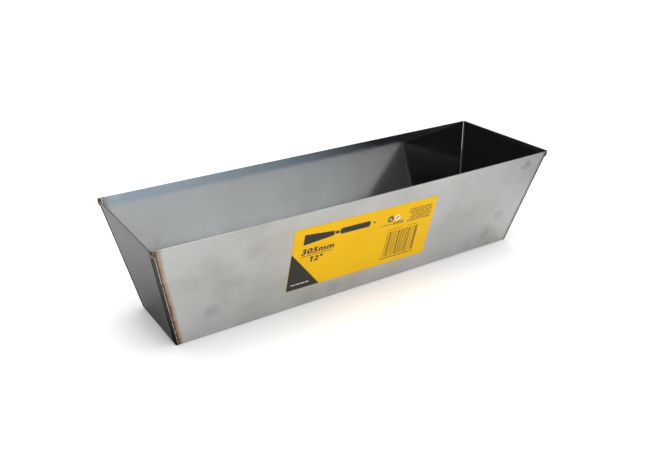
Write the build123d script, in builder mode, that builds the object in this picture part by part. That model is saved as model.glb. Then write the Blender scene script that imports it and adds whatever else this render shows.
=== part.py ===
from build123d import *
import math
import os

os.makedirs("parts", exist_ok=True)

# A 305 mm (12 in) drywall mud pan: a flared stainless trough.
# A U-folded sheet makes the front wall, the floor and the back wall, and two end plates with
# rounded edges are TIG-welded into its ends. Millimetres, +Z up, X along the pan, front wall at -Y.
# The origin is the centre of the underside that the pan rests on.

# Overall sizes, over the outside of the sheet, to the sharp corners that the bends round off
bottom_length = 308.0
bottom_width = 61.4
height = 83.8
end_flare = 11.95      # degrees that each end leans outward
side_flare = 13.3      # degrees that the front and back walls lean outward
front_bow = 1.8        # how far the middle of the front rim springs outward

# Sheet
sheet = 0.7
fold_radius = 1.2      # outside radius of the long folds along the floor
end_radius = 1.8       # outside radius of the rounded edges of the end plates
rim_deburr = 0.2       # radius left on the sheared rim

# TIG seams, which run round each end just inside the rounded edge
seam_inset = 2.1       # middle of the seam, in from the outside of the end plate
seam_width = 1.1
seam_crown = 0.25      # bead standing proud outside
seam_root = 0.15       # bead standing proud inside
run_height = 2.0       # above the underside, where the upright runs meet the floor run

# Tacks that hold each end plate at the rim
tack_length = 5.6
tack_radius = 1.8
tack_proud = 0.9

# Printed label on the front wall
label_length = 126.2
label_height = 55.2
label_film = 0.12
label_shift = -6.8     # along X from the middle of the wall
label_raise = 1.9      # up the wall from its middle
label_tilt = -1.0      # degrees

# Worked out from the sizes above
end_angle = math.radians(end_flare)
side_angle = math.radians(side_flare)
over_cut = 10.0        # how far cutting shapes run past what they cut


def half_length(level, grow):
    """Half the pan's length at a level, with its skin moved outward by grow."""
    return bottom_length / 2 + level * math.tan(end_angle) + grow / math.cos(end_angle)


def half_width(level, grow):
    """Half the pan's width at a level, with its skin moved outward by grow."""
    return bottom_width / 2 + level * math.tan(side_angle) + grow / math.cos(side_angle)


def outline(level, grow):
    """Outline of the pan at a level; the front edge bows outward towards the rim."""
    x = half_length(level, grow)
    y = half_width(level, grow)
    bow = front_bow * (level + grow) / height
    with BuildSketch(Plane.XY.offset(level)) as section:
        with BuildLine():
            Line((x, -y), (x, y))
            Line((x, y), (-x, y))
            Line((-x, y), (-x, -y))
            if bow > 0:
                ThreePointArc((-x, -y), (0, -y - bow), (x, -y))
            else:
                Line((-x, -y), (x, -y))
        make_face()
    return section.sketch


def flared_block(grow, rise):
    """Sharp-edged solid inside the trough's skin moved outward by grow."""
    with BuildPart() as block:
        add(outline(-grow, grow))
        add(outline(height + rise, grow))
        loft(ruled=True)
    return block.part


def trough_block(grow, rise=0.0):
    """The same solid with the long folds and the edges of the end plates rounded."""
    with BuildPart() as folded:
        add(flared_block(grow, rise))
        long_folds = folded.edges().group_by(Axis.Z)[0].filter_by(Axis.X)
        fillet(long_folds, fold_radius + grow)
    with BuildPart() as block:
        add(flared_block(grow, rise))
        slant_edges = block.edges().filter_by(lambda edge: edge.bounding_box().size.Z > height / 2)
        end_edges = block.edges().group_by(Axis.Z)[0].filter_by(Axis.Y)
        fillet(slant_edges + end_edges, end_radius + grow)
        add(folded.part, mode=Mode.INTERSECT)
    return block.part


def end_plane(side, inset):
    """Plane parallel to an end plate, inset from its outside; it faces out of the pan."""
    outward = (side * math.cos(end_angle), 0, -math.sin(end_angle))
    return Plane(
        origin=(side * (bottom_length / 2 - inset / math.cos(end_angle)), 0, 0),
        x_dir=(0, 1, 0),
        z_dir=outward,
    )


skin = trough_block(0)
hollow = trough_block(-sheet, rise=over_cut)
sides = {"left": -1, "right": 1}
walls = {"front": -1, "back": 1}

# The whole trough as one sheet, which the seams cut into its three pieces
with BuildPart() as sheet_trough:
    add(skin)
    add(hollow, mode=Mode.SUBTRACT)
    fillet(sheet_trough.edges().group_by(Axis.Z)[-1], rim_deburr)

with BuildPart() as pan_body:
    add(sheet_trough.part)
    for side in sides.values():
        split(bisect_by=end_plane(side, seam_inset + seam_width / 2), keep=Keep.BOTTOM)
pan_body.part.label = "pan_body"
export_step(pan_body.part, "parts/pan_body.step")

for name, side in sides.items():
    with BuildPart() as end_plate:
        add(sheet_trough.part)
        split(bisect_by=end_plane(side, seam_inset - seam_width / 2), keep=Keep.TOP)
    end_plate.part.label = name + "_end_plate"
    export_step(end_plate.part, "parts/" + end_plate.part.label + ".step")

# Each seam's bead fills the gap between plate and body and stands a little proud on both faces.
# Under the floor it is dressed flush, so the pan sits flat.
crown_block = trough_block(seam_crown)
root_block = trough_block(-sheet - seam_root, rise=over_cut)
rim_level = Plane.XY.offset(height)
run_level = Plane.XY.offset(run_height)
tack_level = height - tack_length / 2


def seam_bead(side):
    """One whole bead, down the front wall, across the floor and up the back wall."""
    with BuildPart() as bead:
        add(crown_block)
        add(root_block, mode=Mode.SUBTRACT)
        split(bisect_by=end_plane(side, seam_inset - seam_width / 2), keep=Keep.BOTTOM)
        split(bisect_by=end_plane(side, seam_inset + seam_width / 2), keep=Keep.TOP)
        split(bisect_by=rim_level, keep=Keep.BOTTOM)
        split(bisect_by=Plane.XY, keep=Keep.TOP)
    return bead.part


for name, side in sides.items():
    bead = seam_bead(side)
    with BuildPart() as floor_run:
        add(bead)
        split(bisect_by=run_level, keep=Keep.BOTTOM)
    floor_run.part.label = name + "_floor_weld"
    export_step(floor_run.part, "parts/" + floor_run.part.label + ".step")

    for wall_name, wall in walls.items():
        with BuildPart() as upright_run:
            add(bead)
            split(bisect_by=run_level, keep=Keep.TOP)
            split(bisect_by=Plane.XZ, keep=Keep.TOP if wall < 0 else Keep.BOTTOM)
        upright_run.part.label = name + "_" + wall_name + "_weld"
        export_step(upright_run.part, "parts/" + upright_run.part.label + ".step")

        # The tack is a drop of metal on the rounded corner, its long axis along the corner
        bend_x = side * (half_length(tack_level, 0) - end_radius / math.cos(end_angle))
        bend_y = wall * (half_width(tack_level, 0) - end_radius / math.cos(side_angle))
        reach = (end_radius + tack_proud - tack_radius) / math.sqrt(2)
        corner_run = Vector(side * math.tan(end_angle), wall * math.tan(side_angle), 1)
        tack_plane = Plane(
            origin=(bend_x + side * reach, bend_y + wall * reach, tack_level),
            x_dir=corner_run,
            z_dir=corner_run.cross(Vector(-wall, side, 0)),
        )
        with BuildPart() as tack:
            with BuildSketch(tack_plane):
                Ellipse(tack_length / 2, tack_radius)
                split(bisect_by=Plane.XZ)
            revolve(axis=Axis(tack_plane.origin, tack_plane.x_dir))
            add(skin, mode=Mode.SUBTRACT)
            add(bead, mode=Mode.SUBTRACT)
        tack.part.label = name + "_" + wall_name + "_tack"
        export_step(tack.part, "parts/" + tack.part.label + ".step")

# The label is a thin film that follows the front wall
front_face = Plane(
    origin=(0, -half_width(height / 2, 0), height / 2),
    x_dir=(1, 0, 0),
    z_dir=(0, -math.cos(side_angle), -math.sin(side_angle)),
)
with BuildPart() as label:
    add(trough_block(label_film))
    add(skin, mode=Mode.SUBTRACT)
    with BuildSketch(front_face):
        with Locations((label_shift, label_raise)):
            Rectangle(label_length, label_height, rotation=label_tilt)
    extrude(amount=front_bow + over_cut, both=True, mode=Mode.INTERSECT)
label.part.label = "label"
export_step(label.part, "parts/label.step")
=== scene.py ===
import math
import random
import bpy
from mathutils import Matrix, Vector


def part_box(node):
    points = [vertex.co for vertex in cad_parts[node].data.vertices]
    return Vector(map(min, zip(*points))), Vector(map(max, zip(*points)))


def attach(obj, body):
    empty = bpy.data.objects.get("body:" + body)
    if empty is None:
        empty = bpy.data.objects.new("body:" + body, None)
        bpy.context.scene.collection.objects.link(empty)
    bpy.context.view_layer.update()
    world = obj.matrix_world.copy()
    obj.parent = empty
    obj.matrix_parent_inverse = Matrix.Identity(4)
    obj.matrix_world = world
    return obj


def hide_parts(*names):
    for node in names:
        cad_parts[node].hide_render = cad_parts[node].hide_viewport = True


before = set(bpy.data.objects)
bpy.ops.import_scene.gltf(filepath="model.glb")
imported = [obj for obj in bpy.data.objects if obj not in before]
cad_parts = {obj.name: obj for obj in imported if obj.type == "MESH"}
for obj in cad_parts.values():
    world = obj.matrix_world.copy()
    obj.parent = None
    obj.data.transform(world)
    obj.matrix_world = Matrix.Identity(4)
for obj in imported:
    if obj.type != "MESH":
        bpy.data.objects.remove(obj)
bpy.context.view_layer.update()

from types import SimpleNamespace

import bmesh
import bpy
from bpy.props import FloatProperty, FloatVectorProperty, IntProperty, StringProperty
from mathutils import Matrix, Vector
from mathutils.bvhtree import BVHTree

bl_info = {
    "name": "Mud Pan Looks",
    "version": (1, 0, 0),
    "blender": (4, 5, 0),
    "location": "3D View > Sidebar > Mud Pan",
    "description": "Finishes a welded stainless mud pan and sets up its studio",
    "category": "Object",
}

MM = 0.001
BODY = "root"
ENDS = {"left": -1, "right": 1}
WALLS = {"front": -1, "back": 1}


# Measures taken from the CAD parts

def section_centre(node, top):
    """Centre of an upright weld run's section, at the rim or at its foot."""
    low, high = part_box(node)
    level = high.z if top else low.z
    close = 0.05 * MM
    points = [v.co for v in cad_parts[node].data.vertices if abs(v.co.z - level) < close]
    return sum(points, Vector()) / len(points)


SEAM_FOOT = section_centre("right_front_weld", top=False)
SEAM_RIM = section_centre("right_front_weld", top=True)
END_FLARE = math.atan2(SEAM_RIM.x - SEAM_FOOT.x, SEAM_RIM.z - SEAM_FOOT.z)
SIDE_FLARE = math.atan2(SEAM_FOOT.y - SEAM_RIM.y, SEAM_RIM.z - SEAM_FOOT.z)
PLATE_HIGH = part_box("right_end_plate")[1]
RIM_LEVEL = PLATE_HIGH.z
END_ON_FLOOR = PLATE_HIGH.x - RIM_LEVEL * math.tan(END_FLARE)
SIDE_ON_FLOOR = PLATE_HIGH.y - RIM_LEVEL * math.tan(SIDE_FLARE)
SEAM_ON_FLOOR = SEAM_FOOT.x - SEAM_FOOT.z * math.tan(END_FLARE)
SEAM_INSET = (END_ON_FLOOR - SEAM_ON_FLOOR) * math.cos(END_FLARE) / MM
BEAD_WIDTH = 1.1 * MM
LABEL_LOW, LABEL_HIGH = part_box("label")

# Finger marks on the front wall in millimetres: along, up, size, and how much each dims the steel
FINGER_MARKS = (
    (-99.0, 64.0, 9.0, 0.10),
    (-128.0, 22.0, 8.0, 0.14),
    (-111.0, 42.0, 9.0, 0.06),
    (-60.0, 20.0, 10.0, 0.04),
    (150.0, 75.0, 6.0, 0.16),
    (134.0, 31.0, 7.0, 0.13),
    (124.0, 15.0, 7.0, 0.10),
    (105.0, 7.0, 8.0, 0.09),
    (-28.0, 9.5, 8.0, 0.17),
    (80.0, 70.0, 10.0, 0.04),
)
MARK_CORE = 0.25          # share of a mark's size that is evenly dim
MARK_STRAY = (12, 0, 9)   # how far a mark's outline strays: along, through and up, in millimetres

# Where the finish of the sheet, and the painted shade on it, changes, in millimetres
SHADE_FROM = 60         # right of the middle, where painted shade on the front wall starts
SHADE_ABOVE = 20        # above the floor
WALL_SKIN = 1.0           # what is nearer than this to the sloping front plane is the front wall
TACK_ZONE = 7             # below the rim, where a tack's heat widens the tint
SPRUNG_RIM = 12           # below the rim, where the sheet springs outward
SHEARED_EDGE = (0.4, 0.15)     # below the rim, where its dark edge starts and is full
FACE_CLEAR = (0.75, 1.5)       # in from the end plate's face, where the tint starts and is full

# Shares and colours of the finish
OXIDE_HEX = "#2A2621"
ROOT_HEX = "#3C2F27"
GRAIN_STRETCH = 0.02      # the grain's width over its length
MIDDLE_LEVEL = 0.7        # share of the height; a surface facing away from this point is outside
COOLER_END = 0.55         # share of the tint at the right end
INSIDE_TINT = 0.6         # share of the tint inside the trough
BACK_SHADE_SPREAD = 0.55        # the dark skin is wider along the back edge, by one over this: past the oxide, painted shade that darkens the grazing back edge
FOOT_SPREAD = 2.0         # and narrower along the foot
SKIN_WOBBLE = 0.5         # share of the tint's wobble that the skin's edge has

# Beads
RIPPLE_STEPS = 4          # rings in each ripple
FLOOR_BEAD_LEVEL = 0.55   # share of the level half way up to the upright runs' feet


# Small tools that every piece uses

def linear(hex_colour):
    """An sRGB hex colour as linear RGBA."""
    channels = [int(hex_colour[i:i + 2], 16) / 255 for i in (1, 3, 5)]
    return tuple(c / 12.92 if c <= 0.04045 else ((c + 0.055) / 1.055) ** 2.4 for c in channels) + (1.0,)


def grey(level):
    """A linear grey as RGBA."""
    return (level, level, level, 1.0)


def add_node(tree, kind, inputs=None, **settings):
    """Adds a node; inputs gives each socket a value or the output that feeds it."""
    node = tree.nodes.new(kind)
    for name, value in settings.items():
        setattr(node, name, value)
    for socket, value in (inputs or {}).items():
        if isinstance(value, bpy.types.NodeSocket):
            tree.links.new(value, node.inputs[socket])
        else:
            node.inputs[socket].default_value = value
    return node


def new_material(name):
    """A material with a Principled shader, and its node tree."""
    material = bpy.data.materials.new(name)
    material.use_nodes = True
    return material, material.node_tree, material.node_tree.nodes["Principled BSDF"]


def combine(tree, operation, *values):
    """Output of a maths node fed with the values."""
    return add_node(tree, "ShaderNodeMath", dict(enumerate(values)), operation=operation).outputs[0]


def remap(tree, value, low=0.0, high=1.0, start=0.0, end=1.0, fade="LINEAR"):
    """Turns low to high into start to end, and holds the value on either side."""
    return add_node(tree, "ShaderNodeMapRange", {"Value": value, 1: low, 2: high, 3: start, 4: end},
                    interpolation_type=fade).outputs[0]


def noise(tree, position, size, detail=2.0, roughness=0.5, distortion=0.0):
    """A noise texture whose pattern is about size millimetres across."""
    return add_node(tree, "ShaderNodeTexNoise",
                    {"Vector": position, "Scale": 1 / (size * MM), "Detail": detail,
                     "Roughness": roughness, "Distortion": distortion})


def ramp(tree, value, stops):
    """Output of a colour ramp whose stops are (position, linear colour)."""
    node = add_node(tree, "ShaderNodeValToRGB", {0: value})
    elements = node.color_ramp.elements
    elements[0].position, elements[0].color = stops[0]
    elements[1].position, elements[1].color = stops[-1]
    for position, colour in stops[1:-1]:
        elements.new(position).color = colour
    return node.outputs[0]


def blend(tree, share, under, over, way="MIX"):
    """Lays one colour over another by share."""
    return add_node(tree, "ShaderNodeMix", {0: share, 6: under, 7: over}, data_type="RGBA",
                    blend_type=way).outputs[2]


def vector_maths(tree, operation, *values):
    """A vector maths node fed with the values."""
    return add_node(tree, "ShaderNodeVectorMath", dict(enumerate(values)), operation=operation)


def finish_piece(bm, name, material, replaces=()):
    """Turns a bmesh into a finished piece that rides on the pan."""
    bmesh.ops.recalc_face_normals(bm, faces=bm.faces)
    mesh = bpy.data.meshes.new(name)
    bm.to_mesh(mesh)
    bm.free()
    mesh.materials.append(material)
    piece = bpy.data.objects.new(name, mesh)
    bpy.context.scene.collection.objects.link(piece)
    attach(piece, BODY)
    if replaces:
        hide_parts(*replaces)
    return piece


def paint_node(node, material):
    """Gives a CAD node a material through its object's slots."""
    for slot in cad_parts[node].material_slots:
        slot.link = "OBJECT"
        slot.material = material


# Finishes

def depth_inside(tree, across, z, half_on_floor, flare):
    """Millimetres that a point lies inside one pair of the pan's flared outer planes."""
    room = combine(tree, "SUBTRACT", half_on_floor, combine(tree, "ABSOLUTE", across))
    level = combine(tree, "MULTIPLY", room, math.cos(flare) / MM)
    rise = combine(tree, "MULTIPLY", z, math.sin(flare) / MM)
    return combine(tree, "ADD", level, rise)


def facing_out(tree, place):
    """Above 0 where a surface faces away from the middle of the trough."""
    middle = (0.0, 0.0, MIDDLE_LEVEL * RIM_LEVEL)
    from_middle = vector_maths(tree, "SUBTRACT", place.outputs["Object"], middle)
    return vector_maths(tree, "DOT_PRODUCT", from_middle.outputs[0], place.outputs["Normal"]).outputs["Value"]


def place_on_pan(tree):
    """Where a point lies: its position, its depth inside the ends and the sides in millimetres, and
    1 or 0 for whether it is on the outside, and on an end plate rather than the body."""
    place = add_node(tree, "ShaderNodeTexCoord")
    position = place.outputs["Object"]
    x, y, z = add_node(tree, "ShaderNodeSeparateXYZ", {0: position}).outputs
    from_end = depth_inside(tree, x, z, END_ON_FLOOR, END_FLARE)
    return SimpleNamespace(
        position=position, x=x, y=y, z=z,
        from_end=from_end,
        from_side=depth_inside(tree, y, z, SIDE_ON_FLOOR, SIDE_FLARE),
        outside=combine(tree, "GREATER_THAN", facing_out(tree, place), 0.0),
        on_plate=combine(tree, "LESS_THAN", from_end, SEAM_INSET),
    )


def finger_marks(tree, at):
    """How much the finger marks dim the steel; a swirl of noise curls their outlines."""
    swirl = noise(tree, at.position, size=6, detail=3.0, distortion=1.0)
    stray = tuple(reach * MM for reach in MARK_STRAY)
    curl = vector_maths(tree, "SUBTRACT", swirl.outputs["Color"], (0.5, 0.5, 0.5))
    curled = vector_maths(tree, "MULTIPLY_ADD", curl.outputs[0], stray, at.position)
    on_front = vector_maths(tree, "MULTIPLY", curled.outputs[0], (1.0, 0.0, 1.0))
    marks = 0.0
    for x, z, reach, depth in FINGER_MARKS:
        away = vector_maths(tree, "DISTANCE", on_front.outputs[0], (x * MM, 0.0, z * MM)).outputs["Value"]
        mark = remap(tree, away, MARK_CORE * reach * MM, reach * MM, depth, 0.0, "SMOOTHSTEP")
        marks = combine(tree, "ADD", marks, mark)
    return marks


def front_wall_marks_and_shade(tree, look, at):
    """How much the outside of the front wall is dimmed: its finger marks, and painted shade that deepens
    towards the right-hand end and the rim, in place of the dimmer reflection there."""
    to_right = remap(tree, at.x, SHADE_FROM * MM, PLATE_HIGH.x, 0.0, look.shade_right)
    to_rim = remap(tree, at.z, SHADE_ABOVE * MM, RIM_LEVEL, 0.0, look.shade_rim)
    upper = remap(tree, at.z, SHADE_ABOVE * MM, 0.8 * RIM_LEVEL, start=0.3)
    shade_share = combine(tree, "MULTIPLY_ADD", to_right, upper, to_rim)
    marks_and_shade = combine(tree, "ADD", finger_marks(tree, at), shade_share)
    to_front = combine(tree, "LESS_THAN", at.y, 0.0)
    on_wall = combine(tree, "LESS_THAN", at.from_side, WALL_SKIN)
    front = combine(tree, "MULTIPLY", to_front, on_wall)
    on_front = combine(tree, "MULTIPLY", marks_and_shade, front)
    return combine(tree, "MULTIPLY", on_front, at.outside)


def handled_and_shaded_steel(tree, look, at, clouds, smears, grain):
    """Colour of the bare sheet under its film, smears and grain, with the front wall's finger marks and
    painted shade.
    """
    film = ramp(tree, clouds, [
        (0.32, linear(look.film_hex)), (0.5, linear(look.steel_hex)), (0.66, linear(look.bare_hex)),
    ])
    film_share = remap(tree, at.outside, start=0.3)
    clouded = blend(tree, film_share, linear(look.steel_hex), film)
    smeared = remap(tree, smears, low=0.56, high=0.74, start=1.0, end=1 - look.smear_depth)
    lined = remap(tree, grain, low=0.3, high=0.7, start=0.985, end=1.01)
    shade = combine(tree, "MULTIPLY", lined, smeared)
    # Finger marks, and painted shade towards the front wall's right-hand end and rim
    clear = combine(tree, "SUBTRACT", 1.0, front_wall_marks_and_shade(tree, look, at))
    dimmed = combine(tree, "MULTIPLY", shade, clear)
    return blend(tree, 1.0, clouded, dimmed, "MULTIPLY")


def plate_shade_steel(tree, look, at, steel):
    """Painted shade: the outside of the end plates darkens towards the foot, in place of the shadowed floor
    that they mirror.
    """
    up_plate = remap(tree, at.z, high=RIM_LEVEL)
    foot_shade = ramp(tree, up_plate, [
        (0.08, linear(look.shade_low_hex)),
        (0.45, linear(look.shade_mid_hex)),
        (0.85, linear(look.shade_high_hex)),
    ])
    plate_outside = combine(tree, "MULTIPLY", at.on_plate, at.outside)
    return blend(tree, plate_outside, steel, foot_shade, "MULTIPLY")


def heat_tint(tree, look, at, wobble, steel):
    """Bands of oxide colour by distance from the seam; the wobble keeps their edges uneven."""
    uneven = combine(tree, "ADD", at.from_end, wobble)
    by_tack = remap(tree, at.z, RIM_LEVEL - TACK_ZONE * MM, RIM_LEVEL, 0.0, look.tack_heat)
    wavy = combine(tree, "SUBTRACT", uneven, by_tack)
    seam_edge = SEAM_INSET + BEAD_WIDTH / MM / 2
    tint_at = remap(tree, wavy, low=seam_edge, high=seam_edge + look.tint_reach)
    tint = ramp(tree, tint_at, [
        (0.0, linear("#4A3026")), (0.1, linear("#7E5340")), (0.24, linear("#C98F6B")),
        (0.45, linear("#DDB794")), (0.66, linear("#E4D9BC")), (1.0, linear("#FFFFFF")),
    ])
    patches = noise(tree, at.position, size=13).outputs[0]
    strength = remap(tree, patches, low=0.35, high=0.6, start=0.6)
    # The right end was welded cooler, and less heat reached the inside
    right = combine(tree, "GREATER_THAN", at.x, 0.0)
    end_share = remap(tree, right, start=1.0, end=COOLER_END)
    side_share = remap(tree, at.outside, start=INSIDE_TINT)
    heat = combine(tree, "MULTIPLY", end_share, side_share)
    heated = combine(tree, "MULTIPLY", strength, heat)
    off_plate = remap(tree, at.from_end, *FACE_CLEAR)
    tinted = combine(tree, "MULTIPLY", heated, off_plate)
    return blend(tree, tinted, steel, tint, "MULTIPLY")


def oxide_and_shade_skin(tree, look, at, wobble):
    """How thick the dark skin is: oxide round the end plate's outer edge, thickest just past the bend, widened
    along the back edge as painted shade, and the plate's sheared rim."""
    foot = combine(tree, "MULTIPLY", at.z, FOOT_SPREAD / MM)
    # Along the back edge the skin reaches further: painted shade beyond the weld oxide
    at_back = combine(tree, "GREATER_THAN", at.y, 0.0)
    shade_spread = remap(tree, at_back, start=1.0, end=BACK_SHADE_SPREAD)
    to_side = combine(tree, "MULTIPLY", at.from_side, shade_spread)
    nearest = combine(tree, "MINIMUM", to_side, foot)
    ragged = combine(tree, "MULTIPLY_ADD", wobble, SKIN_WOBBLE, nearest)
    skin_at = remap(tree, ragged, high=look.skin_reach)
    skin = ramp(tree, skin_at, [
        (0.0, grey(0.80)), (0.36, grey(0.68)), (0.50, grey(0.98)), (0.86, grey(0.95)), (1.0, grey(0.0)),
    ])
    skin_outside = combine(tree, "MULTIPLY", skin, at.outside)
    edge_start, edge_full = SHEARED_EDGE
    sheared = remap(tree, at.z, RIM_LEVEL - edge_start * MM, RIM_LEVEL - edge_full * MM, 0.0, look.rim_oxide)
    skin_or_rim = combine(tree, "MAXIMUM", skin_outside, sheared)
    return combine(tree, "MULTIPLY", skin_or_rim, at.on_plate)


def sheet_relief(tree, look, at, grain):
    """Bumps of the rolling grain and a slow sway of the sheet. Below the rim the sheet springs
    outward, which lifts what it mirrors."""
    relief = add_node(tree, "ShaderNodeBump", {"Height": grain, "Strength": 0.1, "Distance": 0.001 * MM})
    sway = noise(tree, at.position, size=55, detail=1.0).outputs[0]
    near_rim = remap(tree, at.z, low=RIM_LEVEL - SPRUNG_RIM * MM, high=RIM_LEVEL)
    curled = combine(tree, "POWER", near_rim, 2.0)
    way = remap(tree, at.outside, start=-look.rim_curl, end=look.rim_curl)
    spring = combine(tree, "MULTIPLY", curled, way)
    height = combine(tree, "MULTIPLY_ADD", sway, look.sheet_sway, spring)
    return add_node(tree, "ShaderNodeBump",
                    {"Height": height, "Strength": 1.0, "Distance": 1.0 * MM,
                     "Normal": relief.outputs[0]}).outputs[0]


def stainless_sheet(look, name, edge_shine):
    """Cold-rolled 304 sheet, 2B mill finish: a soft mirror, clouded by handling, with a faint rolling grain.
    Argon welding leaves bands of brown, orange and straw oxide along the seams, and a dark skin on the rounded
    edges of the end plates, widened along their back edges as painted shade. The outside of the front wall
    carries painted shade towards its right-hand end and its rim. The outside of the end plates darkens towards
    the foot as painted shade, and their copy of the sheet is a shaded copy that shines less at a glancing
    angle."""
    material, tree, shader = new_material(name)
    # An edge shine below 1 is painted shade: the end plates' shaded copy of the same steel
    shader.inputs["Specular Tint"].default_value = grey(edge_shine)
    shader.inputs["Specular IOR Level"].default_value = 0.0
    at = place_on_pan(tree)

    clouds = noise(tree, at.position, size=35, detail=6.0, roughness=0.6).outputs[0]
    smears = noise(tree, at.position, size=9, detail=4.0, roughness=0.6, distortion=1.2).outputs[0]
    scuffs = noise(tree, at.position, size=1.6, detail=3.0, roughness=0.7).outputs[0]
    stray = noise(tree, at.position, size=6, detail=4.0, roughness=0.6).outputs[0]
    wobble = remap(tree, stray, low=0.3, high=0.7, start=-look.tint_wobble, end=look.tint_wobble)
    # Rolling grain runs along the pan; the real lines are finer, and 0.8 mm is what shows
    stretched = add_node(tree, "ShaderNodeMapping",
                         {"Vector": at.position, "Scale": (GRAIN_STRETCH, 1.0, 1.0)})
    grain = noise(tree, stretched.outputs[0], size=0.8, detail=3.0).outputs[0]

    steel = handled_and_shaded_steel(tree, look, at, clouds, smears, grain)
    # Painted shade on the end plates' outside, darker towards the foot
    plate_shaded = plate_shade_steel(tree, look, at, steel)
    warm = heat_tint(tree, look, at, wobble, plate_shaded)
    skin = oxide_and_shade_skin(tree, look, at, wobble)
    scuffed = remap(tree, scuffs, low=0.55, high=0.75, start=1.0, end=0.6)
    dark = combine(tree, "MULTIPLY", skin, scuffed)
    tree.links.new(blend(tree, dark, warm, linear(OXIDE_HEX)), shader.inputs["Base Color"])
    # Thick oxide is no longer metal
    tree.links.new(remap(tree, dark, start=1.0, end=0.05), shader.inputs["Metallic"])

    # The film and the oxide dull the mirror
    cloud_dull = remap(tree, clouds, 0.35, 0.7, look.steel_roughness + 0.05, look.steel_roughness)
    smear_dull = remap(tree, smears, low=0.55, high=0.7, end=0.05)
    dulled = combine(tree, "ADD", cloud_dull, smear_dull)
    oxide_dull = combine(tree, "MULTIPLY_ADD", skin, 0.2, dulled)
    tree.links.new(oxide_dull, shader.inputs["Roughness"])
    tree.links.new(sheet_relief(tree, look, at, grain), shader.inputs["Normal"])
    return material


def weld_metal(name, dark, middle, bright, last):
    """TIG weld in stainless filler: bright rippled metal with brown and straw oxide in patches, and a
    duller root inside the pan, where no gas covered it."""
    material, tree, shader = new_material(name)
    place = add_node(tree, "ShaderNodeTexCoord")
    patches = noise(tree, place.outputs["Object"], size=3, detail=4.0, roughness=0.65).outputs[0]
    oxide = ramp(tree, patches, [
        (0.30, linear(dark)), (0.42, linear(middle)), (0.55, linear(bright)), (0.72, linear(last)),
    ])
    root = combine(tree, "LESS_THAN", facing_out(tree, place), 0.0)
    tree.links.new(blend(tree, root, oxide, linear(ROOT_HEX), "MULTIPLY"), shader.inputs["Base Color"])
    shader.inputs["Metallic"].default_value = 1.0
    dull = remap(tree, patches, low=0.3, high=0.7, start=0.5, end=0.34)
    tree.links.new(dull, shader.inputs["Roughness"])
    return material


def label_film():
    """Semi-gloss polyester label, printed a warm yellow: an even colour with a slight ripple of the
    adhesive under it."""
    material, tree, shader = new_material("printed_polyester_film")
    position = add_node(tree, "ShaderNodeTexCoord").outputs["Object"]
    lay = noise(tree, position, size=22, detail=3.0).outputs[0]
    yellow = ramp(tree, lay, [(0.3, linear("#DEAC03")), (0.7, linear("#E3B206"))])
    tree.links.new(yellow, shader.inputs["Base Color"])
    rub = noise(tree, position, size=2.5, detail=4.0).outputs[0]
    tree.links.new(remap(tree, rub, low=0.3, high=0.7, start=0.38, end=0.48), shader.inputs["Roughness"])
    shader.inputs["Specular IOR Level"].default_value = 0.12
    ripple = add_node(tree, "ShaderNodeBump", {"Height": lay, "Strength": 0.3, "Distance": 0.1 * MM})
    tree.links.new(ripple.outputs[0], shader.inputs["Normal"])
    return material


def ink(name, hex_dark, hex_light):
    """Screen-printed ink on the film: nearly even, a little thinner in places."""
    material, tree, shader = new_material(name)
    position = add_node(tree, "ShaderNodeTexCoord").outputs["Object"]
    cover = noise(tree, position, size=1.2, detail=3.0).outputs[0]
    tone = ramp(tree, cover, [(0.35, linear(hex_dark)), (0.7, linear(hex_light))])
    tree.links.new(tone, shader.inputs["Base Color"])
    tree.links.new(remap(tree, cover, low=0.3, high=0.7, start=0.36, end=0.46), shader.inputs["Roughness"])
    shader.inputs["Specular IOR Level"].default_value = 0.25
    return material


# Weld beads

def rippled_bead(bm, start, end, inward, look):
    """A run of bead from start to end: an oval rod whose girth swells at each ripple."""
    run = end - start
    along = run.normalized()
    across = along.cross(inward).normalized()
    steps = round(run.length / (look.ripple_pitch * MM) * RIPPLE_STEPS)
    ring = bmesh.ops.create_circle(bm, cap_ends=True, segments=12, radius=1.0)["verts"]
    half_width = look.bead_width * MM / 2
    half_depth = look.bead_depth * MM / 2
    turn = Matrix((across, inward.normalized(), along)).transposed().to_4x4()
    bmesh.ops.transform(bm, matrix=Matrix.Diagonal((half_width, half_depth, 1.0, 1.0)), verts=ring)
    bmesh.ops.transform(bm, matrix=Matrix.Translation(start) @ turn, verts=ring)
    edges = list({edge for vert in ring for edge in vert.link_edges})
    girth = 1.0
    for step in range(1, steps + 1):
        grown = bmesh.ops.extrude_edge_only(bm, edges=edges)["geom"]
        verts = [item for item in grown if isinstance(item, bmesh.types.BMVert)]
        edges = [item for item in grown if isinstance(item, bmesh.types.BMEdge)]
        ripple = 1.0 + look.ripple_swell * math.cos(2 * math.pi * step / RIPPLE_STEPS)
        middle = start + run * (step / steps)
        bmesh.ops.translate(bm, vec=run / steps, verts=verts)
        swell = Vector.Fill(3, ripple / girth)
        bmesh.ops.scale(bm, vec=swell, space=Matrix.Translation(-middle), verts=verts)
        girth = ripple
    bmesh.ops.contextual_create(bm, geom=edges)


def bead_run(name, start, end, inward, look, material):
    """One weld run that stands in for the plain CAD run of the same name."""
    bm = bmesh.new()
    rippled_bead(bm, start, end, inward, look)
    for face in bm.faces:
        face.smooth = len(face.verts) == 4
    return finish_piece(bm, name + "_bead", material, replaces=(name,))


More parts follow.
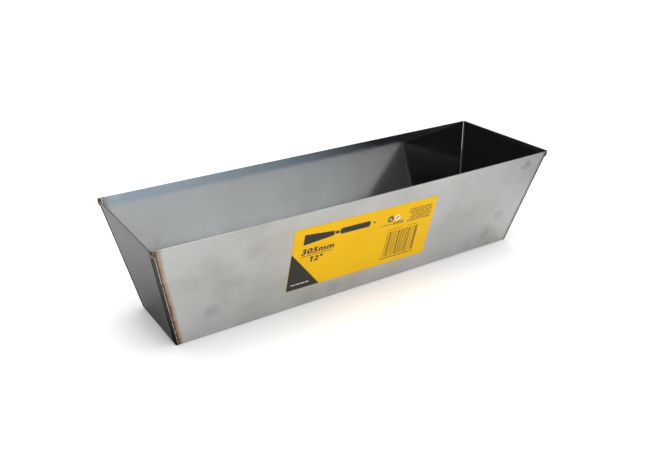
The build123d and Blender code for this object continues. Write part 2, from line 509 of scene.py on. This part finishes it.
class MUDPAN_OT_welds(bpy.types.Operator):
    """Lay the rippled TIG beads in the six seams and finish the rim tacks"""
    bl_idname = "mudpan.welds"
    bl_label = "Weld Beads"

    def execute(self, context):
        look = context.scene.mudpan_welds
        metal = weld_metal("TIG_weld_bead", dark="#54473E", middle="#857B6F", bright="#A5A29A", last="#98908A")
        drop = weld_metal("TIG_tack_drop", dark="#32281F", middle="#5E4B3B", bright="#846C55", last="#6A6056")
        for end_name, side in ENDS.items():
            for wall_name, wall in WALLS.items():
                node = end_name + "_" + wall_name + "_weld"
                foot = section_centre(node, top=False)
                rim = section_centre(node, top=True)
                inward = Vector((0, -wall, 0))
                bead_run(node, foot, rim, inward, look, metal)
                paint_node(end_name + "_" + wall_name + "_tack", drop)
            node = end_name + "_floor_weld"
            low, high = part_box(node)
            half_way = (section_centre(end_name + "_front_weld", top=False).z + low.z) / 2
            level = half_way * FLOOR_BEAD_LEVEL
            reach = high.y - look.bead_depth * MM / 2
            middle = (low.x + high.x) / 2
            start = Vector((middle, -reach, level))
            end = Vector((middle, reach, level))
            bead_run(node, start, end, Vector((0, 0, 1)), look, metal)
        return {"FINISHED"}


class MUDPAN_OT_sheet(bpy.types.Operator):
    """Finish the folded body and the two end plates as heat-tinted stainless sheet"""
    bl_idname = "mudpan.sheet"
    bl_label = "Stainless Sheet"

    def execute(self, context):
        look = context.scene.mudpan_sheet
        paint_node("pan_body", stainless_sheet(look, "cold_rolled_stainless_2B", 1.0))
        # The end plates get a shaded copy of the same steel: painted shade that makes them shine less at a
        # glancing angle
        plate_shaded = stainless_sheet(look, "shaded_stainless_2B", look.shaded_shine)
        for end_name in ENDS:
            paint_node(end_name + "_end_plate", plate_shaded)
        return {"FINISHED"}


# Label print, drawn flat in label millimetres from the label's lower left corner, then laid on the film

SYMBOLS = ((83.8, 43.7), (90.0, 43.7))
BAR_CODE = (84.2, 113.0)          # left and right ends of the bars
BAR_WIDTHS = (0.33, 0.33, 0.66, 0.66, 0.99)
BAR_GAPS = (0.5, 0.66, 0.99, 1.32)
WORD_LENGTHS = (1.2, 3.4)
WORD_GAPS = (0.45, 0.8)
SHORTEST_WORD = 0.6
FIGURE_SPACING = 1.12
FIGURE_STEPS = 4                  # points along each curve of a figure
CAST_FROM = 20 * MM               # clear of the bowed wall

def print_plane(look):
    """Frame of the label: its lower left corner, its directions along and up the wall, and outward."""
    middle = (LABEL_LOW + LABEL_HIGH) / 2
    up = Vector((0, LABEL_LOW.y - LABEL_HIGH.y, LABEL_HIGH.z - LABEL_LOW.z)).normalized()
    along = Vector((1, 0, 0))
    out = along.cross(up)
    tilt = Matrix.Rotation(math.radians(look.label_tilt), 3, out)
    return middle, tilt @ along, tilt @ up, out


def lay_on_label(bm, look, coats=1):
    """Moves flat print from label millimetres onto the film, and gives it its thickness."""
    middle, along, up, out = print_plane(look)
    film = bmesh.new()
    film.from_mesh(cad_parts["label"].data)
    surface = BVHTree.FromBMesh(film)
    film.free()
    half = Vector((look.label_length, look.label_height)) * MM / 2
    corner = middle - along * half.x - up * half.y
    for vert in bm.verts:
        flat = corner + along * vert.co.x * MM + up * vert.co.y * MM
        hit = surface.ray_cast(flat + out * CAST_FROM, -out)[0]
        if hit is None:
            raise RuntimeError("print runs off the label at %s" % vert.co.to_tuple(1))
        vert.co = hit
    for face in bm.faces:
        face.normal_update()
        if face.normal.dot(out) < 0:
            face.normal_flip()
    base = bm.faces[:]
    raised = bmesh.ops.extrude_face_region(bm, geom=base, use_keep_orig=True)["geom"]
    verts = [item for item in raised if isinstance(item, bmesh.types.BMVert)]
    bmesh.ops.translate(bm, vec=out * coats * look.ink_thickness * MM, verts=verts)


def add_box(bm, left, low, width, tall):
    """A flat rectangle of print."""
    quad = bmesh.ops.create_grid(bm, x_segments=1, y_segments=1, size=0.5)["verts"]
    bmesh.ops.scale(bm, vec=(width, tall, 1), verts=quad)
    bmesh.ops.translate(bm, vec=(left + width / 2, low + tall / 2, 0), verts=quad)
    return quad


def add_disc(bm, x, y, radius, segments=28):
    """A flat disc of print."""
    disc = bmesh.ops.create_circle(bm, cap_ends=True, segments=segments, radius=radius)["verts"]
    bmesh.ops.translate(bm, vec=(x, y, 0), verts=disc)
    return disc


def add_words(bm, draw, left, low, width, tall):
    """A line of print too small to read, as a row of short bars."""
    x = left
    while x < left + width - SHORTEST_WORD:
        word = min(draw.uniform(*WORD_LENGTHS), left + width - x)
        add_box(bm, x, low, word, tall)
        x += word + draw.uniform(*WORD_GAPS)


def add_figures(bm, body, left, low, width, tall, look):
    """Generic size figures, set from Blender's own font and made a flat mesh."""
    curve = bpy.data.curves.new("figures", "FONT")
    curve.body = body
    curve.offset = look.figure_weight
    curve.shear = look.figure_slant
    curve.space_character = FIGURE_SPACING
    curve.resolution_u = FIGURE_STEPS
    setting = bpy.data.objects.new("figures", curve)
    mesh = bpy.data.meshes.new_from_object(setting)
    across = [v.co.x for v in mesh.vertices]
    upward = [v.co.y for v in mesh.vertices]
    stretch = (width / (max(across) - min(across)), tall / (max(upward) - min(upward)), 1.0, 1.0)
    mesh.transform(Matrix.Translation((left, low, 0)) @ Matrix.Diagonal(stretch)
                   @ Matrix.Translation((-min(across), -min(upward), 0)))
    for vert in mesh.vertices:
        vert.co.z = 0
    bm.from_mesh(mesh)
    bpy.data.meshes.remove(mesh)
    bpy.data.objects.remove(setting)
    bpy.data.curves.remove(curve)


def add_one(bm, left, low, width, tall, look):
    """A figure one, with a stem and a flag, leaning as the other figures do."""
    flag_width = 0.4 * width
    flag_tall = 0.3 * tall
    stem = add_box(bm, left + flag_width, low, width - flag_width, tall)
    flag = add_box(bm, left, low + tall - flag_tall, flag_width, flag_tall)
    for vert in stem + flag:
        vert.co.x += (vert.co.y - low) * look.figure_slant


# Each drawing is given the look and the random draw, whether it needs them or not

def draw_corner_panel(bm, look, draw):
    """The dark triangle in the lower left corner, just inside the film's edge."""
    edge = 0.08
    corners = ((edge, edge, 0), (28.0, edge, 0), (edge, 34.4, 0))
    bm.faces.new([bm.verts.new(corner) for corner in corners])


def draw_knife(bm, look, draw):
    """A taping knife as a generic symbol: blade, ferrule, handle and the hole in its end."""
    centre_line = 44.8
    heel_share = 0.45
    blade = add_box(bm, left=8.6, low=40.2, width=25.0, tall=9.2)
    for vert in blade:
        if vert.co.x > 20:
            vert.co.y = centre_line + (vert.co.y - centre_line) * heel_share
    add_box(bm, left=34.3, low=43.6, width=3.6, tall=2.4)
    handle = add_box(bm, left=38.6, low=42.2, width=26.4, tall=5.2)
    bmesh.ops.bevel(bm, geom=handle, affect="VERTICES", offset=2.0, segments=5, profile=0.5, material=-1)
    add_disc(bm, x=68.6, y=centre_line, radius=0.9)


def draw_figures(bm, look, draw):
    """The size in millimetres and in inches."""
    add_figures(bm, "305mm", left=8.0, low=31.2, width=27.4, tall=5.2, look=look)
    add_one(bm, left=15.6, low=23.4, width=2.5, tall=4.8, look=look)
    add_figures(bm, "2\"", left=19.4, low=23.4, width=7.6, tall=4.8, look=look)


def draw_rule(bm, look, draw):
    """The line between the two sizes."""
    add_box(bm, left=8.2, low=29.5, width=26.8, tall=0.5)


def draw_fine_print(bm, look, draw):
    """A round symbol, lines too small to read and a made-up bar pattern."""
    x, y = SYMBOLS[0]
    add_disc(bm, x, y, radius=2.7)
    add_words(bm, draw, left=76.0, low=38.4, width=9.6, tall=0.55)
    add_words(bm, draw, left=87.0, low=37.8, width=9.6, tall=0.9)
    add_words(bm, draw, left=87.0, low=39.2, width=9.6, tall=0.7)
    for row in range(7):
        inset = draw.uniform(0.0, 4.5)
        add_words(bm, draw, left=99.6 + inset, low=37.2 + row * 1.8, width=23.4 - inset, tall=0.75)
    add_words(bm, draw, left=83.5, low=33.0, width=13.5, tall=0.45)
    add_words(bm, draw, left=103.0, low=33.0, width=10.3, tall=0.45)
    x, bars_end = BAR_CODE
    while x < bars_end:
        bar = draw.choice(BAR_WIDTHS)
        add_box(bm, x, low=7.4, width=bar, tall=23.8)
        x += bar + draw.choice(BAR_GAPS)
    add_words(bm, draw, left=82.6, low=5.2, width=31.0, tall=0.9)


def draw_white_print(bm, look, draw):
    """The second symbol's disc, the lines in the first one, and the line in the dark corner."""
    x, y = SYMBOLS[1]
    add_disc(bm, x, y, radius=2.6)
    for row in range(3):
        add_words(bm, draw, left=82.4, low=42.4 + row * 1.0, width=2.8, tall=0.35)
    add_words(bm, draw, left=3.2, low=4.6, width=15.0, tall=0.75)


def draw_stroke(bm, look, draw):
    """A slanted stroke across the second symbol."""
    x, y = SYMBOLS[1]
    stroke = add_box(bm, left=88.2, low=43.2, width=3.6, tall=1.1)
    slant = Matrix.Rotation(math.radians(38), 3, "Z")
    bmesh.ops.rotate(bm, cent=(x, y, 0), matrix=slant, verts=stroke)


class MUDPAN_OT_label(bpy.types.Operator):
    """Finish the label film and lay its generic print on it"""
    bl_idname = "mudpan.label"
    bl_label = "Printed Label"

    def execute(self, context):
        look = context.scene.mudpan_label
        paint_node("label", label_film())
        black = ink("screen_printed_black", "#1B1916", "#29261F")
        white = ink("screen_printed_white", "#D8D5CC", "#EDEAE2")
        # White lies over black where they meet, and the stroke over the white
        prints = (
            ("label_corner_panel", draw_corner_panel, black, 1),
            ("label_knife_symbol", draw_knife, black, 1),
            ("label_size_figures", draw_figures, black, 1),
            ("label_rule", draw_rule, black, 1),
            ("label_fine_print", draw_fine_print, black, 1),
            ("label_white_print", draw_white_print, white, 2),
            ("label_symbol_stroke", draw_stroke, black, 3),
        )
        draw = random.Random(look.seed)
        for name, drawing, material, coats in prints:
            bm = bmesh.new()
            drawing(bm, look, draw)
            lay_on_label(bm, look, coats)
            finish_piece(bm, name, material)
        return {"FINISHED"}


# Studio

KEY_COLOUR = (1.0, 0.985, 0.96)
PLAIN_WHITE = (1.0, 1.0, 1.0)
FIBRE_SHADE = 0.995       # the paper's shade between its fibres, as a share of theirs
SENSOR_WIDTH = 36.0       # in the camera's own millimetres
NEAREST_SEEN = 0.01


def studio_world(look):
    """Soft studio: bright overhead and behind the pan, fainter behind its left end and at its right,
    a cool window at the front, and dark elsewhere. The background itself is plain white."""
    world = bpy.data.worlds.new("studio")
    world.use_nodes = True
    tree = world.node_tree
    tree.nodes.clear()
    way = add_node(tree, "ShaderNodeTexCoord").outputs["Generated"]
    glow = add_node(tree, "ShaderNodeCombineXYZ", {i: look.gloom[i] for i in range(3)}).outputs[0]
    lobes = (
        (look.overhead_towards, look.overhead_width, look.overhead_core, look.overhead, "SMOOTHSTEP"),
        (look.behind_towards, look.behind_width, look.behind_core, look.behind, "SMOOTHSTEP"),
        (look.window_towards, look.window_width, look.window_core, look.window, "LINEAR"),
        (look.corner_towards, look.corner_width, look.corner_core, look.corner, "SMOOTHSTEP"),
        (look.fill_towards, look.fill_width, look.fill_core, look.fill, "SMOOTHSTEP"),
    )
    for towards, width, core, colour, fade in lobes:
        middle = tuple(Vector(towards).normalized())
        turn = vector_maths(tree, "DOT_PRODUCT", way, middle).outputs["Value"]
        share = remap(tree, turn, low=math.cos(width), high=math.cos(core), fade=fade)
        light = add_node(tree, "ShaderNodeVectorMath", {0: tuple(colour), "Scale": share},
                         operation="SCALE")
        glow = vector_maths(tree, "ADD", light.outputs[0], glow).outputs[0]
    lit = add_node(tree, "ShaderNodeBackground", {"Color": glow})
    seen = add_node(tree, "ShaderNodeBackground", {"Color": grey(1.0)})
    ray = add_node(tree, "ShaderNodeLightPath")
    both = add_node(tree, "ShaderNodeMixShader",
                    {0: ray.outputs["Is Camera Ray"], 1: lit.outputs[0], 2: seen.outputs[0]})
    add_node(tree, "ShaderNodeOutputWorld", {0: both.outputs[0]})
    return world


def add_area_light(name, towards, distance, size, power, colour):
    """A soft square light, aimed at the pan."""
    lamp = bpy.data.lights.new(name, "AREA")
    lamp.size = size
    lamp.energy = power
    lamp.color = colour
    holder = bpy.data.objects.new(name, lamp)
    place = Vector(towards).normalized() * distance
    holder.location = place
    holder.rotation_euler = place.to_track_quat("Z", "Y").to_euler()
    bpy.context.scene.collection.objects.link(holder)
    return holder


class MUDPAN_OT_stage(bpy.types.Operator):
    """Set up the pale floor, the soft studio light and the camera"""
    bl_idname = "mudpan.stage"
    bl_label = "Studio"

    def execute(self, context):
        scene = context.scene
        look = scene.mudpan_stage

        bm = bmesh.new()
        bmesh.ops.create_grid(bm, x_segments=1, y_segments=1, size=look.floor_size / 2)
        mesh = bpy.data.meshes.new("floor")
        bm.to_mesh(mesh)
        bm.free()
        floor = bpy.data.objects.new("floor", mesh)
        scene.collection.objects.link(floor)
        material, tree, shader = new_material("matt_white_paper")
        position = add_node(tree, "ShaderNodeTexCoord").outputs["Object"]
        fibre = noise(tree, position, size=2).outputs[0]
        between = grey(look.floor_shade * FIBRE_SHADE)
        paper = ramp(tree, fibre, [(0.3, between), (0.7, grey(look.floor_shade))])
        tree.links.new(paper, shader.inputs["Base Color"])
        shader.inputs["Roughness"].default_value = 0.9
        shader.inputs["Specular IOR Level"].default_value = 0.2
        mesh.materials.append(material)

        scene.world = studio_world(look)
        add_area_light("key_softbox", look.key_towards, look.key_distance, look.key_size, look.key_power,
                       KEY_COLOUR)

        # A large diffuser lights the floor from above; the steel doesn't mirror it, or its floor would glare
        diffuser = add_area_light("top_diffuser", (0, 0, 1), look.diffuser_height, look.diffuser_size,
                                  look.diffuser_power, PLAIN_WHITE)
        diffuser.visible_glossy = False

        camera = bpy.data.cameras.new("camera")
        camera.lens = look.lens
        camera.sensor_width = SENSOR_WIDTH
        camera.clip_start = NEAREST_SEEN
        viewpoint = bpy.data.objects.new("camera", camera)
        turn = math.radians(look.view_turn)
        lift = math.radians(look.view_lift)
        back = Vector((math.sin(turn) * math.cos(lift), -math.cos(turn) * math.cos(lift), math.sin(lift)))
        viewpoint.location = Vector(look.view_target) * MM + back * look.view_distance
        viewpoint.rotation_euler = back.to_track_quat("Z", "Y").to_euler()
        scene.collection.objects.link(viewpoint)
        scene.camera = viewpoint
        scene.view_settings.view_transform = "Standard"
        scene.view_settings.look = "None"
        return {"FINISHED"}


# Settings that a user would change

class SheetLook(bpy.types.PropertyGroup):
    steel_hex: StringProperty(name="Steel", description="Colour of the sheet, sRGB hex", default="#B3B3B1")
    film_hex: StringProperty(name="Film", description="Where handling film lies, sRGB hex", default="#A8A9A1")
    bare_hex: StringProperty(name="Bare", description="Where the sheet is cleanest, sRGB hex",
                             default="#B8B8B7")
    # The three Shade colours are painted shade on the outside of the end plates, darkest at the foot
    shade_low_hex: StringProperty(name="Shade Low", description="Film at the foot of an end plate",
                                  default="#2F302F")
    shade_mid_hex: StringProperty(name="Shade Middle", description="Film half way up", default="#929492")
    shade_high_hex: StringProperty(name="Shade High", description="Film at the rim", default="#CFD0CF")
    # Painted shade: the lower glancing shine of the end plates' shaded copy of the steel
    shaded_shine: FloatProperty(name="Shaded Shine",
                                description="Shine of the end plates at a glancing angle",
                                default=0.38, min=0.0, max=1.0)
    rim_oxide: FloatProperty(name="Rim Oxide", description="How dark the end plates' sheared rims are",
                             default=0.75, min=0.0, max=1.0)
    rim_curl: FloatProperty(name="Rim Curl", description="Millimetres that the rim springs outward",
                            default=0.05)
    steel_roughness: FloatProperty(name="Roughness", description="Blur of the mill finish", default=0.05,
                                   min=0.02, max=0.6)
    smear_depth: FloatProperty(name="Smears", description="Share that a finger smear dims", default=0.06)
    # Shaded End and Shaded Rim set painted shade on the outside of the front wall
    shade_right: FloatProperty(name="Shaded End",
                                 description="Share that handling dims the right-hand end",
                                 default=0.42)
    shade_rim: FloatProperty(name="Shaded Rim", description="Share that handling dims the rim",
                               default=0.14)
    sheet_sway: FloatProperty(name="Sway", description="Millimetres that the sheet wanders", default=0.015)
    tint_reach: FloatProperty(name="Heat Tint Reach", description="Millimetres of tint beside the bead",
                              default=3.6, min=1.0)
    tack_heat: FloatProperty(name="Tack Heat", description="Millimetres more tint beside a rim tack",
                             default=1.3)
    tint_wobble: FloatProperty(name="Tint Wobble", description="Millimetres that the tint's edges stray",
                               default=0.45)
    skin_reach: FloatProperty(name="Oxide Skin", description="Millimetres of dark skin from the corner",
                              default=3.4, min=0.5)


class WeldLook(bpy.types.PropertyGroup):
    bead_width: FloatProperty(name="Bead Width", description="Millimetres across the seam", default=1.12)
    bead_depth: FloatProperty(name="Bead Depth", description="Millimetres through the sheet", default=1.12)
    ripple_pitch: FloatProperty(name="Ripple Pitch", description="Millimetres from ripple to ripple",
                                default=1.1)
    ripple_swell: FloatProperty(name="Ripple Swell", description="Share that each ripple swells",
                                default=0.07)


class LabelLook(bpy.types.PropertyGroup):
    label_length: FloatProperty(name="Length", description="Millimetres along the label", default=126.2)
    label_height: FloatProperty(name="Height", description="Millimetres up the label", default=55.2)
    label_tilt: FloatProperty(name="Tilt", description="Degrees that the label is turned", default=-1.0)
    figure_weight: FloatProperty(name="Figure Weight", description="How bold the size figures are",
                                 default=0.035)
    figure_slant: FloatProperty(name="Figure Slant", description="How far the size figures lean",
                                default=0.14)
    ink_thickness: FloatProperty(name="Ink", description="Millimetres of ink above the film", default=0.03)
    seed: IntProperty(name="Seed", description="Chooses the generic small print and bars", default=7)


class StageLook(bpy.types.PropertyGroup):
    floor_size: FloatProperty(name="Floor", description="Side of the floor", default=12.0, unit="LENGTH")
    floor_shade: FloatProperty(name="Floor Shade", description="Brightness of the paper", default=0.86)
    overhead: FloatVectorProperty(name="Overhead", description="Light from above", size=3,
                                  default=(1.5, 1.5, 1.5))
    overhead_towards: FloatVectorProperty(name="Overhead Towards", description="Where it hangs", size=3,
                                          default=(0.05, -0.08, 1.0))
    overhead_width: FloatProperty(name="Overhead Width", description="Half angle where it fades out",
                                  default=math.radians(61), subtype="ANGLE")
    overhead_core: FloatProperty(name="Overhead Core", description="Half angle of full light",
                                 default=math.radians(39), subtype="ANGLE")
    behind: FloatVectorProperty(name="Behind", description="Light from behind", size=3,
                                default=(1.86, 1.93, 2.04))
    behind_towards: FloatVectorProperty(name="Behind Towards", description="Where it stands", size=3,
                                        default=(0.2, 0.92, 0.34))
    behind_width: FloatProperty(name="Behind Width", description="Half angle where it fades out",
                                default=math.radians(31), subtype="ANGLE")
    behind_core: FloatProperty(name="Behind Core", description="Half angle of full light",
                               default=math.radians(12), subtype="ANGLE")
    window: FloatVectorProperty(name="Window", description="Cool light at the front", size=3,
                                default=(0.58, 0.73, 0.88))
    window_towards: FloatVectorProperty(name="Window Towards", description="Where it stands", size=3,
                                        default=(0.225, -0.974, 0.03))
    window_width: FloatProperty(name="Window Width", description="Half angle where it fades out",
                                default=math.radians(21.5), subtype="ANGLE")
    window_core: FloatProperty(name="Window Core", description="Half angle of full light",
                               default=math.radians(3), subtype="ANGLE")
    corner: FloatVectorProperty(name="Corner", description="Faint light behind the left end", size=3,
                                default=(0.62, 0.64, 0.62))
    corner_towards: FloatVectorProperty(name="Corner Towards", description="Where it stands", size=3,
                                        default=(-0.24, 0.83, 0.5))
    corner_width: FloatProperty(name="Corner Width", description="Half angle where it fades out",
                                default=math.radians(15), subtype="ANGLE")
    corner_core: FloatProperty(name="Corner Core", description="Half angle of full light",
                               default=math.radians(4), subtype="ANGLE")
    fill: FloatVectorProperty(name="Fill", description="Light at the right", size=3,
                              default=(0.4, 0.41, 0.42))
    fill_towards: FloatVectorProperty(name="Fill Towards", description="Where it stands", size=3,
                                      default=(0.97, -0.05, 0.25))
    fill_width: FloatProperty(name="Fill Width", description="Half angle where it fades out",
                              default=math.radians(50), subtype="ANGLE")
    fill_core: FloatProperty(name="Fill Core", description="Half angle of full light",
                             default=math.radians(15), subtype="ANGLE")
    gloom: FloatVectorProperty(name="Gloom", description="Light from the dark sides", size=3,
                               default=(0.022, 0.024, 0.029))
    key_towards: FloatVectorProperty(name="Key", description="Where the key light stands", size=3,
                                     default=(0.05, -0.9, 0.43))
    key_distance: FloatProperty(name="Key Distance", description="From the pan", default=1.3, unit="LENGTH")
    key_size: FloatProperty(name="Key Size", description="Side of the softbox", default=0.7, unit="LENGTH")
    key_power: FloatProperty(name="Key Power", description="Power of the softbox", default=3.2, unit="POWER")
    diffuser_height: FloatProperty(name="Diffuser Height", description="Above the floor", default=2.5,
                                   unit="LENGTH")
    diffuser_size: FloatProperty(name="Diffuser Size", description="Side of the diffuser", default=5.0,
                                 unit="LENGTH")
    diffuser_power: FloatProperty(name="Diffuser Power", description="Power of the diffuser", default=76.0,
                                  unit="POWER")
    lens: FloatProperty(name="Lens", description="Focal length", default=42.405, unit="CAMERA")
    view_turn: FloatProperty(name="View Turn", description="Degrees round the pan", default=-32.86)
    view_lift: FloatProperty(name="View Lift", description="Degrees above the floor", default=25.16)
    view_distance: FloatProperty(name="View Distance", description="From the target",
                                 default=0.5979, unit="LENGTH")
    view_target: FloatVectorProperty(name="View Target", description="Millimetres", size=3,
                                     default=(-11.74, 6.86, 33.71))


class MUDPAN_PT_panel(bpy.types.Panel):
    """Steps of the mud pan's looks"""
    bl_idname = "MUDPAN_PT_panel"
    bl_label = "Mud Pan"
    bl_space_type = "VIEW_3D"
    bl_region_type = "UI"
    bl_category = "Mud Pan"

    def draw(self, context):
        for operator in STEPS:
            self.layout.operator(operator.bl_idname)
        for name in SETTINGS:
            look = getattr(context.scene, name)
            box = self.layout.box()
            for prop in look.__annotations__:
                box.prop(look, prop)


STEPS = (MUDPAN_OT_stage, MUDPAN_OT_sheet, MUDPAN_OT_welds, MUDPAN_OT_label)
SETTINGS = {
    "mudpan_sheet": SheetLook,
    "mudpan_welds": WeldLook,
    "mudpan_label": LabelLook,
    "mudpan_stage": StageLook,
}


def register():
    for cls in tuple(SETTINGS.values()) + STEPS + (MUDPAN_PT_panel,):
        bpy.utils.register_class(cls)
    for name, group in SETTINGS.items():
        setattr(bpy.types.Scene, name, bpy.props.PointerProperty(type=group))


def unregister():
    for name in SETTINGS:
        delattr(bpy.types.Scene, name)
    for cls in reversed(tuple(SETTINGS.values()) + STEPS + (MUDPAN_PT_panel,)):
        bpy.utils.unregister_class(cls)


def main():
    register()
    bpy.ops.mudpan.stage()
    bpy.ops.mudpan.sheet()
    bpy.ops.mudpan.welds()
    bpy.ops.mudpan.label()


if __name__ == "__main__":
    main()
